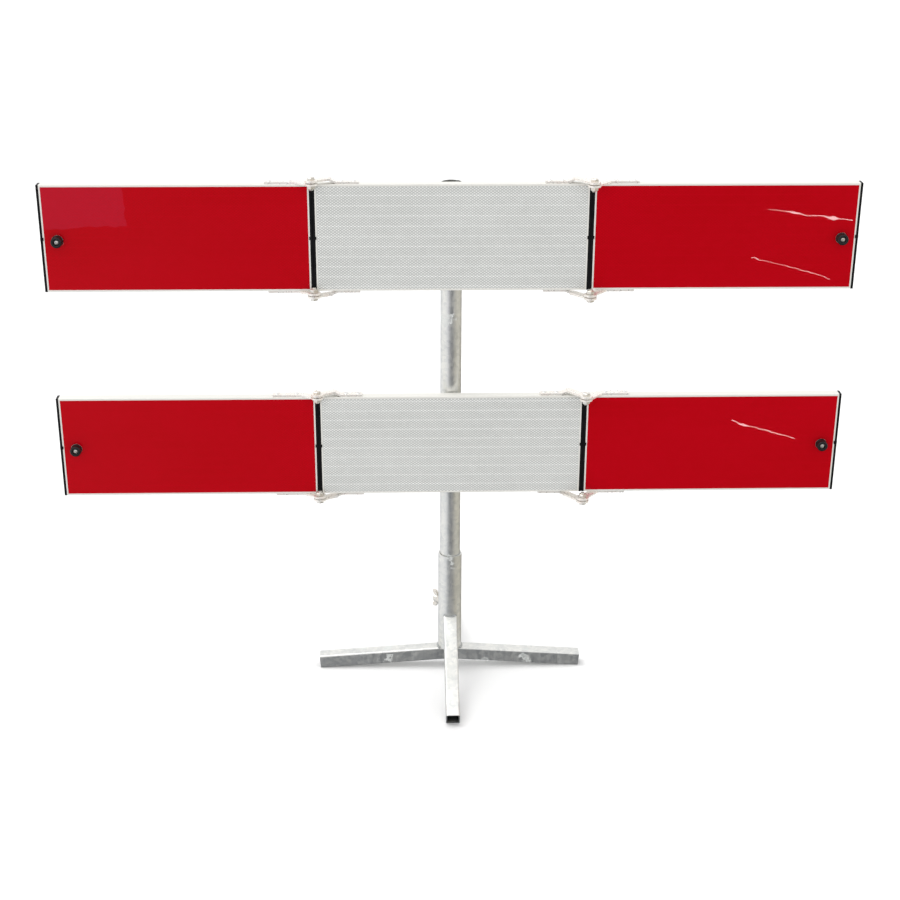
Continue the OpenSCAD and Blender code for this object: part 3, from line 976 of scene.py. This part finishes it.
    def build(self, finishes: Finishes) -> None:
        """Builds and fits all the hinge pieces.

        Args:
            finishes: the finishes to choose from.
        """
        row = self.row.name.value
        body = self.row.body
        self.bolts().fit(body, "zinc_plated_steel", finishes, f"{row}_hinge_bolts")
        self.nuts().fit(body, "zinc_plated_steel", finishes, f"{row}_hinge_nuts")
        self.washers().fit(body, "zinc_plated_steel", finishes, f"{row}_hinge_washers")
        for part in Part:
            owner = self.row.body_of(part)
            self.straps(part).fit(owner, "strap_steel", finishes, f"{row}_{part.value}_straps")
            self.rivets(part).fit(owner, "rivet_aluminium", finishes, f"{row}_{part.value}_rivets")


@dataclass
class BufferSet:
    """The rubber buffers near the wings' outer ends, each with its screw."""

    row: "Row"
    radius: float = 10.5 * MM
    recess_r: float = 5.5 * MM
    recess: float = 5.0 * MM
    bore_r: float = 2.7 * MM
    head_r: float = 4.6 * MM
    head_h: float = 3.0 * MM
    drive_r: float = 1.9 * MM
    screw_r: float = 2.5 * MM

    def place(self, side: Side) -> Matrix:
        """The buffer's foot on the wing's face, Z pointing out of it.

        Args:
            side: the wing that carries it.

        Returns:
            The place.
        """
        low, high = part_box(f"{self.row.name.value}_{side.word}_buffer")
        foot = Vector(((low.x + high.x) / 2, high.y, (low.z + high.z) / 2))
        return Matrix.Translation(foot) @ Matrix.Rotation(math.pi / 2, 4, "X")

    def height(self, side: Side) -> float:
        """How far the buffer stands out.

        Args:
            side: the wing that carries it.

        Returns:
            The height.
        """
        low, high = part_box(f"{self.row.name.value}_{side.word}_buffer")
        return high.y - low.y

    def rubber(self, side: Side) -> Workpiece:
        """A moulded round buffer with a flared foot ring and a soft rim.

        Args:
            side: the wing that carries it.

        Returns:
            The buffer.
        """
        height, outer = self.height(side), self.radius
        waist = outer - 0.9 * MM
        floor = height - self.recess
        rubber = Workpiece.turned("rubber", [
            (self.bore_r, 0.0), (outer, 0.0), (outer, 2.2 * MM), (waist, 3.4 * MM),
            (waist, height - 5.0 * MM), (outer - 0.3 * MM, height - 3.6 * MM),
            (outer - 0.3 * MM, height - 1.6 * MM),
            (outer - 0.9 * MM, height - 0.5 * MM), (outer - 2.0 * MM, height),
            (self.recess_r + 0.8 * MM, height), (self.recess_r, height - 0.8 * MM),
            (self.recess_r, floor), (self.bore_r, floor),
        ], 64, ring=True).soften(0.3 * MM)
        return rubber.copied_to([self.place(side)], f"{self.row.name.value}_{side.word}_buffer_moulded")

    def screw(self, side: Side) -> Workpiece:
        """A round head screw with a hexagon socket, sunk in the buffer.

        Args:
            side: the wing that carries it.

        Returns:
            The screw.
        """
        seat = self.height(side) - self.recess
        head = Workpiece.turned("head", [
            (self.screw_r, 0.0), (self.screw_r, seat), (self.head_r, seat), (self.head_r, seat + 1.2 * MM),
            (self.head_r * 0.9, seat + 2.1 * MM), (self.head_r * 0.72, seat + self.head_h * 0.92),
            (self.head_r * 0.52, seat + self.head_h),
        ], 40).soften(0.12 * MM)
        drive = Workpiece.turned("drive", [
            (self.drive_r, seat + 1.1 * MM), (self.drive_r, seat + 2 * self.head_h),
        ], 6)
        head.cut_by(drive)
        return head.copied_to([self.place(side)], f"{self.row.name.value}_{side.word}_buffer_screw_socketed")

    def build(self, finishes: Finishes) -> None:
        """Builds and fits both buffers and screws.

        Args:
            finishes: the finishes to choose from.
        """
        for side in Side:
            stem = f"{self.row.name.value}_{side.word}"
            body = f"{stem}_wing"
            self.rubber(side).fit(body, "buffer_rubber", finishes, f"{stem}_buffer")
            self.screw(side).fit(body, "zinc_plated_steel", finishes, f"{stem}_buffer_screw")


@dataclass
class ClampSet:
    """The two clamps that hold a row to the pole."""

    row: "Row"
    edge: float = 0.5 * MM
    bolt_r: float = 4.0 * MM
    thread_depth: float = 0.35 * MM
    thread_pitch: float = 1.25 * MM
    nut_h: float = 6.5 * MM
    slot_lip: float = 1.8 * MM
    head_w: float = 13.0 * MM
    head_h: float = 5.0 * MM
    pitch: float = 74.0 * MM
    slot_z: float = 50.0 * MM
    band_t: float = 3.0 * MM
    tip_past_nut: float = 4.0 * MM

    def places(self) -> list[Matrix]:
        """Places of the clamp bolts on the board's back, Z pointing away from it.

        Returns:
            The left pair of places, then the right one.
        """
        low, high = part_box(f"{self.row.name.value}_clamp_bands")
        middle = (low.z + high.z) / 2
        back = Matrix.Rotation(-math.pi / 2, 4, "X")
        return [
            Matrix.Translation((side * self.pitch / 2, low.y, middle + level * self.slot_z)) @ back
            for side in (-1, 1) for level in (-1, 1)
        ]

    def bolts(self) -> Workpiece:
        """T-head bolts in the board's slots, each with its chamfered nut.

        Returns:
            The row's four clamp bolts.
        """
        nut_low = self.band_t
        nut_high = nut_low + self.nut_h
        tip = nut_high + self.tip_past_nut
        crest, root = self.bolt_r, self.bolt_r - self.thread_depth
        profile = [(crest, -self.slot_lip), (crest, nut_low)]
        height = nut_low
        while height + self.thread_pitch < tip:
            profile += [(root, height + self.thread_pitch / 2), (crest, height + self.thread_pitch)]
            height += self.thread_pitch
        profile.append((root - self.thread_depth, tip))
        shank = Workpiece.turned("shank", profile, 32)
        half = self.head_w / 2
        head = Workpiece.block(
            "head", (-half, -half, -self.slot_lip - self.head_h), (half, half, -self.slot_lip)
        ).soften(0.4 * MM)
        bolt = shank.take_in([head, HexNut().between(nut_low, nut_high)])
        return bolt.copied_to(self.places(), f"{self.row.name.value}_clamp_bolts_threaded")

    def build(self, finishes: Finishes) -> None:
        """Builds and fits the bands, saddles and bolts.

        Args:
            finishes: the finishes to choose from.
        """
        row, body = self.row.name.value, self.row.body
        for node, slot, width in (
            (f"{row}_clamp_bands", "galvanised_steel", self.edge),
            (f"{row}_clamp_saddles", "cast_aluminium", self.edge),
        ):
            Workpiece.cad_copy(f"{node}_edged", node).soften(width).fit(body, slot, finishes, node)
        self.bolts().fit(body, "zinc_plated_steel", finishes, f"{row}_clamp_bolts")


@dataclass
class BoardSet:
    """The boards of one row, their sheeting and the rubber strips on their ends."""

    row: "Row"
    panel_edge: float = 0.3 * MM
    film_edge: float = 0.12 * MM
    strip_edge: float = 0.5 * MM
    strip_rim: float = 2.4 * MM
    strip_recess: float = 0.7 * MM
    strip_t: float = 4.7 * MM
    tab_lap: float = 1.5 * MM
    tab_t: float = 1.0 * MM
    tab_h: float = 6.0 * MM

    def strip(self, x: float, outward: int) -> Workpiece:
        """One strip with a recessed end face and the tab that laps onto the board's face.

        Args:
            x: where its end face is.
            outward: the way that face looks along X.

        Returns:
            The strip.
        """
        row = self.row
        front, back = row.front_y, row.back_y
        inner = x - outward * self.strip_t
        low = (min(x, inner), front, row.bottom)
        high = (max(x, inner), back, row.top)
        strip = Workpiece.block("strip", low, high)
        with strip.editing("FACE"):
            strip.pick_faces(lambda centre, normal: normal.x * outward > 0.9)
            bpy.ops.mesh.inset(thickness=self.strip_rim, depth=0.0)
            bpy.ops.mesh.inset(thickness=0.4 * MM, depth=-self.strip_recess)
        lap = inner - outward * self.tab_lap
        middle = (row.top + row.bottom) / 2
        tab = Workpiece.block(
            "tab",
            (min(x, lap), front - self.tab_t, middle - self.tab_h / 2),
            (max(x, lap), front + 0.1 * MM, middle + self.tab_h / 2),
        )
        return strip.soften(self.strip_edge).take_in([tab.soften(0.3 * MM)])

    def strips(self, part: Part) -> Workpiece:
        """Both strips of one board.

        Args:
            part: the board whose ends they cover.

        Returns:
            The strips, joined.
        """
        node = f"{self.row.name.value}_{part.value}_end_strips"
        low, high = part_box(node)
        pair = self.strip(low.x, -1).take_in([self.strip(high.x, 1)])
        pair.obj.name = f"{node}_moulded"
        pair.obj.data.name = pair.obj.name
        return pair

    def build(self, finishes: Finishes) -> None:
        """Builds and fits the boards, sheetings and strips.

        Args:
            finishes: the finishes to choose from.
        """
        for part in Part:
            stem = f"{self.row.name.value}_{part.value}"
            body = self.row.body_of(part)
            colour = "white_sheeting" if part is Part.CENTRE else "red_sheeting"
            board = Workpiece.cad_copy(f"{stem}_board_drawn", f"{stem}_panel").soften(self.panel_edge)
            board.fit(body, "board_aluminium", finishes, f"{stem}_panel")
            film = Workpiece.cad_copy(f"{stem}_film", f"{stem}_sheet").soften(self.film_edge)
            film.fit(body, colour, finishes, f"{stem}_sheet")
            self.strips(part).fit(body, "black_rubber", finishes, f"{stem}_end_strips")


@dataclass
class Row:
    """One row of three boards, from its sheeting to its clamps."""

    name: RowName

    def __post_init__(self) -> None:
        """Reads the row's edges from the frame."""
        low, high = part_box(f"{self.name.value}_centre_panel")
        self.top: float = high.z
        self.bottom: float = low.z
        self.front_y: float = low.y
        self.back_y: float = high.y
        self.middle_y: float = (low.y + high.y) / 2
        self.body: str = f"{self.name.value}_row"

    def body_of(self, part: Part) -> str:
        """The body that carries a board."""
        return self.body if part is Part.CENTRE else f"{self.name.value}_{part.value}_wing"

    def pivot(self, side: Side) -> Vector:
        """The hinge axis of a side's wing.

        Args:
            side: the wing's side.

        Returns:
            A point on the axis.
        """
        wanted = f"{self.name.value}_{side.word}_wing_fold"
        joint = next(joint for joint in frame["joints"] if joint["name"] == wanted)
        return Vector(joint["pos_m"])

    def build(self, finishes: Finishes) -> None:
        """Builds the whole row.

        Args:
            finishes: the finishes to choose from.
        """
        for group in (BoardSet(self), HingeSet(self), BufferSet(self), ClampSet(self)):
            group.build(finishes)


@dataclass
class Foot:
    """The socket, the four legs, their welds and the wing bolt, and the pole that stands in them."""

    tube_edge: float = 0.3 * MM
    leg_edge: float = 0.25 * MM
    bead_r: float = 2.4 * MM
    bead_step: float = 1.4 * MM
    front_slope: float = 0.448
    nut_edge: float = 0.5 * MM

    def tubes(self, finishes: Finishes) -> None:
        """Gives the tubes their broken edges.

        Args:
            finishes: the finishes to choose from.
        """
        for node, body, width in (
            ("pole", "pole", self.tube_edge), ("socket", "foot", self.tube_edge),
            ("left_leg", "foot", self.leg_edge), ("right_leg", "foot", self.leg_edge),
            ("front_leg", "foot", self.leg_edge), ("rear_leg", "foot", self.leg_edge),
        ):
            piece = Workpiece.cad_copy(f"{node}_zinc_dipped", node).soften(width)
            piece.fit(body, "galvanised_steel", finishes, node)

    def welds(self, finishes: Finishes) -> None:
        """Rippled beads where the legs meet the socket.

        Args:
            finishes: the finishes to choose from.
        """
        socket_low, socket_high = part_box("socket")
        wall = (socket_high.x - socket_low.x) / 2
        leg_low, leg_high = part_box("front_leg")
        half_leg = (leg_high.x - leg_low.x) / 2
        ring = wall + self.bead_r * 0.35
        half_arc = math.asin((half_leg - 1.5 * MM) / ring)
        steps = int(2 * half_arc * ring / self.bead_step)
        ripple = Workpiece.turned("ripple", [
            (0.3 * self.bead_r, -0.62 * self.bead_r), (0.8 * self.bead_r, -0.45 * self.bead_r),
            (self.bead_r, 0.0), (0.8 * self.bead_r, 0.45 * self.bead_r),
            (0.3 * self.bead_r, 0.62 * self.bead_r),
        ], 14).smooth(1)
        corner_rise = (wall - math.sqrt(wall * wall - half_leg * half_leg)) * self.front_slope
        front_height = leg_high.z - corner_rise
        places = []
        for heading in (0.0, 90.0, 180.0, 270.0):
            for step in range(steps + 1):
                turn = math.radians(heading) - half_arc + 2 * half_arc * step / steps
                height = socket_low.z + 0.6 * MM
                if heading in (90.0, 270.0):
                    height = front_height + (wall - ring * abs(math.sin(turn))) * self.front_slope
                spot = Vector((ring * math.cos(turn), ring * math.sin(turn), height))
                wobble = 1.0 + 0.12 * math.sin(step * 2.4 + heading)
                places.append(
                    Matrix.Translation(spot) @ Matrix.Rotation(turn, 4, "Z")
                    @ Matrix.Rotation(math.pi / 2, 4, "X") @ Matrix.Diagonal((wobble, wobble, 1.0, 1.0))
                )
        beads = ripple.copied_to(places, "welds_rippled")
        beads.fit("foot", "weld_steel", finishes, "welds")

    def clamp_screw(self, finishes: Finishes) -> None:
        """The wing bolt and the nut welded to the socket.

        Args:
            finishes: the finishes to choose from.
        """
        bolt = Workpiece.cad_copy("wing_bolt_cast", "wing_bolt").soften(0.9 * MM, 3)
        bolt.fit("wing_bolt", "zinc_plated_steel", finishes, "wing_bolt")
        nut = Workpiece.cad_copy("socket_nut_edged", "socket_nut").soften(self.nut_edge)
        nut.fit("foot", "zinc_plated_steel", finishes, "socket_nut")

    def build(self, finishes: Finishes) -> None:
        """Builds the foot and the pole.

        Args:
            finishes: the finishes to choose from.
        """
        self.tubes(finishes)
        self.welds(finishes)
        self.clamp_screw(finishes)


# ---------------------------------------------------------------- studio


@dataclass(frozen=True)
class LightCard:
    """A flat light: its place, aim, size in metres, power in watts, tilt in degrees and colour."""

    name: str
    at: Colour
    aim: Colour
    width: float
    height: float
    power: float
    tilt: float = 0.0
    colour: Colour = (1.0, 1.0, 1.0)


@dataclass
class Studio:
    """The pale floor, the soft lights and the camera."""

    floor_half: float = 30.0
    lens: float = 64.0
    camera_at: tuple[float, float, float] = (-0.0901, -2.9032, 1.6765)
    look_down: float = 22.405
    look_right: float = 1.76
    roll: float = 0.253

    def floor(self) -> None:
        """A wide pale floor with a barely visible mottle."""
        Workpiece.clear()
        bpy.ops.mesh.primitive_plane_add(size=2 * self.floor_half)
        floor = Workpiece.taken("studio_floor")
        recipe = Recipe("studio_paint")
        colour = recipe.blend(recipe.noise(2.0, 3.0), (0.90, 0.90, 0.90), (0.93, 0.93, 0.93))
        floor.obj.data.materials.append(recipe.surface(Base_Color=colour, Roughness=0.9))
        floor.obj.visible_glossy = False

    def card(self, card: "LightCard") -> None:
        """Adds a bright card, mostly there to be mirrored in the glossy film.

        Args:
            card: its place, size and power.
        """
        light = bpy.data.lights.new(card.name, "AREA")
        light.shape = "RECTANGLE"
        light.size = card.width
        light.size_y = card.height
        light.energy = card.power
        light.color = card.colour
        lamp = bpy.data.objects.new(card.name, light)
        lamp.location = card.at
        turn = (Vector(card.aim) - Vector(card.at)).to_track_quat("-Z", "Y")
        lamp.rotation_euler = (turn @ Euler((0.0, 0.0, math.radians(card.tilt))).to_quaternion()).to_euler()
        bpy.context.scene.collection.objects.link(lamp)

    def sun(self) -> None:
        """A very soft sun from the upper left, for the shadows."""
        light = bpy.data.lights.new("sun", "SUN")
        light.energy = 1.2
        light.angle = math.radians(35.0)
        lamp = bpy.data.objects.new("sun", light)
        lamp.rotation_euler = Vector((0.35, -0.12, -0.92)).to_track_quat("-Z", "Y").to_euler()
        bpy.context.scene.collection.objects.link(lamp)

    def air(self) -> None:
        """A white sky above and, for mirrors, a darker room below the horizon that is bright on the left."""
        world = bpy.data.worlds.new("studio_air")
        world.use_nodes = True
        nodes, links = world.node_tree.nodes, world.node_tree.links
        place = nodes.new("ShaderNodeTexCoord")
        axes = nodes.new("ShaderNodeSeparateXYZ")
        links.new(place.outputs["Generated"], axes.inputs["Vector"])
        around = nodes.new("ShaderNodeMapRange")
        around.inputs["From Min"].default_value = -1.0
        around.inputs["From Max"].default_value = 1.0
        links.new(axes.outputs["X"], around.inputs["Value"])
        ramp = nodes.new("ShaderNodeValToRGB")
        stops = (
            (0.0, (1.1, 1.1, 1.1)), (0.2, (0.85, 0.87, 0.9)), (0.34, (0.34, 0.36, 0.38)),
            (0.44, (0.18, 0.19, 0.20)), (0.54, (0.11, 0.115, 0.13)), (0.68, (0.12, 0.125, 0.13)),
            (0.82, (0.42, 0.40, 0.34)), (1.0, (0.60, 0.57, 0.48)),
        )
        for index, (position, colour) in enumerate(stops):
            stop = ramp.color_ramp.elements[index] if index < 2 else ramp.color_ramp.elements.new(position)
            stop.position = position
            stop.color = (*colour, 1.0)
        links.new(around.outputs["Result"], ramp.inputs["Fac"])
        rise = nodes.new("ShaderNodeMapRange")
        rise.inputs["From Min"].default_value = -0.10
        rise.inputs["From Max"].default_value = 0.02
        links.new(axes.outputs["Z"], rise.inputs["Value"])
        mix = nodes.new("ShaderNodeMix")
        mix.data_type = "RGBA"
        links.new(rise.outputs["Result"], mix.inputs[0])
        links.new(ramp.outputs["Color"], mix.inputs[6])
        mix.inputs[7].default_value = (1.0, 1.0, 1.0, 1.0)
        background = nodes["Background"]
        links.new(mix.outputs[2], background.inputs["Color"])
        background.inputs["Strength"].default_value = 1.0
        bpy.context.scene.world = world
        bpy.context.scene.view_settings.view_transform = "Standard"

    def lights(self) -> None:
        """The sky, the sun and the cards that the film mirrors."""
        self.air()
        self.sun()
        for card in (
            LightCard("window", (-1.30, -2.33, 0.52), (-0.70, 0.0, 0.98), 0.60, 0.35, 0.5,
                      colour=(0.75, 0.45, 1.0)),
            LightCard("streak_high", (1.26, -2.33, 0.385), (0.65, 0.0, 0.95), 0.28, 0.0022, 0.05, -5.0),
            LightCard("streak_mid", (1.22, -2.33, 0.20), (0.65, 0.0, 0.86), 0.30, 0.0022, 0.05, -13.0),
            LightCard("streak_low", (1.02, -1.76, -0.150), (0.6, 0.0, 0.53), 0.20, 0.0022, 0.038, -12.0),
        ):
            self.card(card)

    def camera(self) -> None:
        """The camera, slightly left of the middle and looking down on the boards."""
        data = bpy.data.cameras.new("camera")
        data.lens = self.lens
        data.sensor_width = 36.0
        camera = bpy.data.objects.new("camera", data)
        aim = Matrix.Rotation(math.radians(-self.look_right), 4, "Z")
        tilt = Matrix.Rotation(math.radians(90.0 - self.look_down), 4, "X")
        turn = Matrix.Rotation(math.radians(self.roll), 4, "Z")
        camera.matrix_world = Matrix.Translation(self.camera_at) @ aim @ tilt @ turn
        bpy.context.scene.collection.objects.link(camera)
        bpy.context.scene.camera = camera

    def build(self) -> None:
        """Sets up the studio."""
        self.camera()
        self.floor()
        self.lights()


def main() -> None:
    """Builds the studio, the foot and both rows."""
    logging.basicConfig(level=logging.INFO, format="%(name)s: %(message)s")
    Studio().build()
    finishes = Finishes()
    finishes.mix()
    Foot().build(finishes)
    for name in RowName:
        Row(name).build(finishes)


if __name__ == "__main__":
    main()
